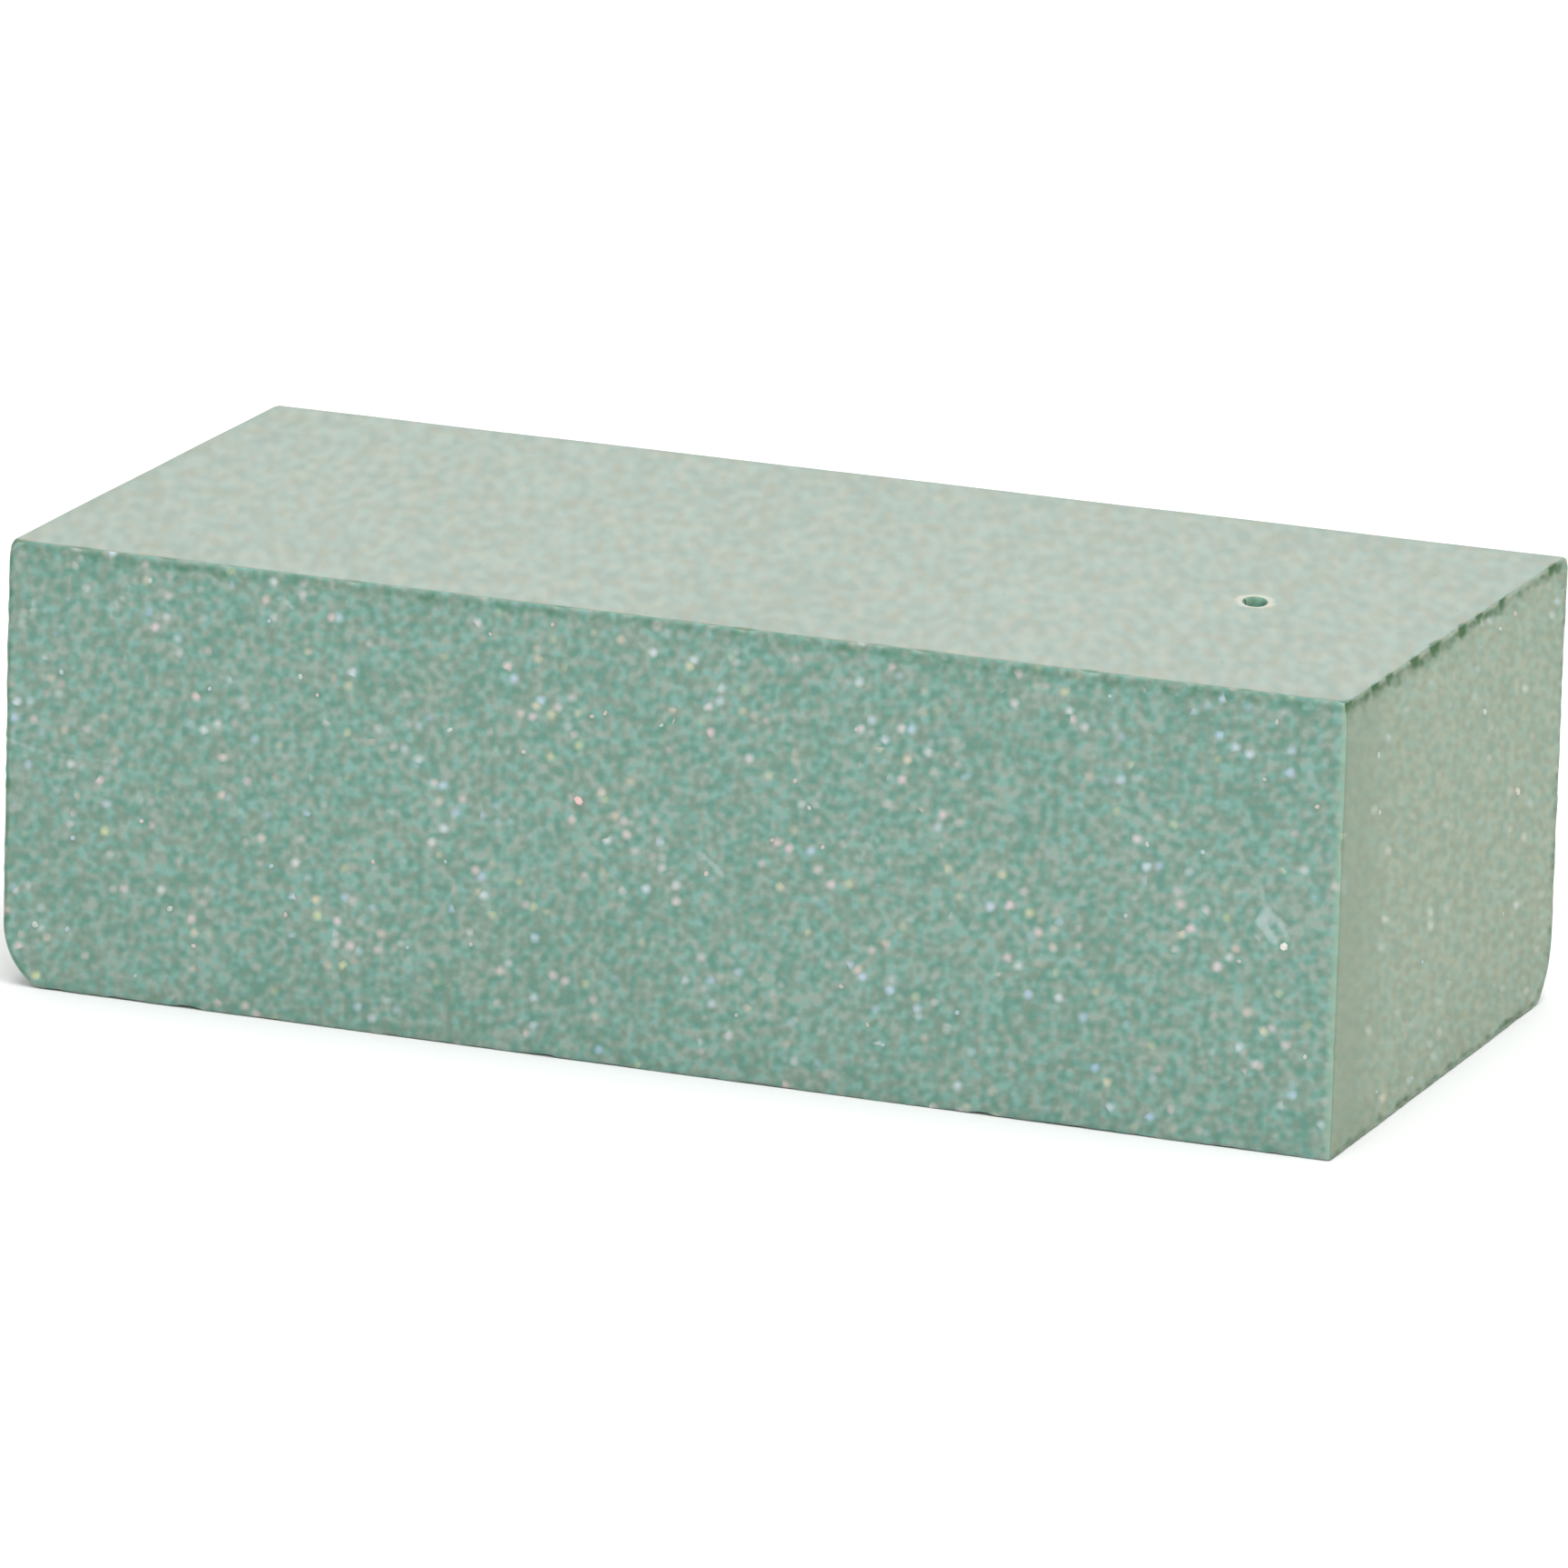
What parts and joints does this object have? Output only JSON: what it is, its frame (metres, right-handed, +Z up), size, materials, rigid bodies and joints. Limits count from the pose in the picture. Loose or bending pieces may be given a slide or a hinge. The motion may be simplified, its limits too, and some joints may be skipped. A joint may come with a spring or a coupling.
{
  "type": "floral foam brick",
  "caption": "Rectangular brick of dry floral foam with two sawn faces, moulded sides with rounded lower edges and a small round stem hole in its top.",
  "frame": {"origin": "centre of the brick's bounding box in plan, on the base face it rests on", "axes": "+X along the length towards the sawn end, +Y through the depth from the sawn front face to the moulded back, +Z up"},
  "size_m": [0.23, 0.11, 0.075],
  "materials": {
    "foam": "dry open-cell phenolic foam, matte and powdery, grey-green to teal"
  },
  "bodies": {
    "root": {"foam_brick": "foam"}
  },
  "joints": []
}
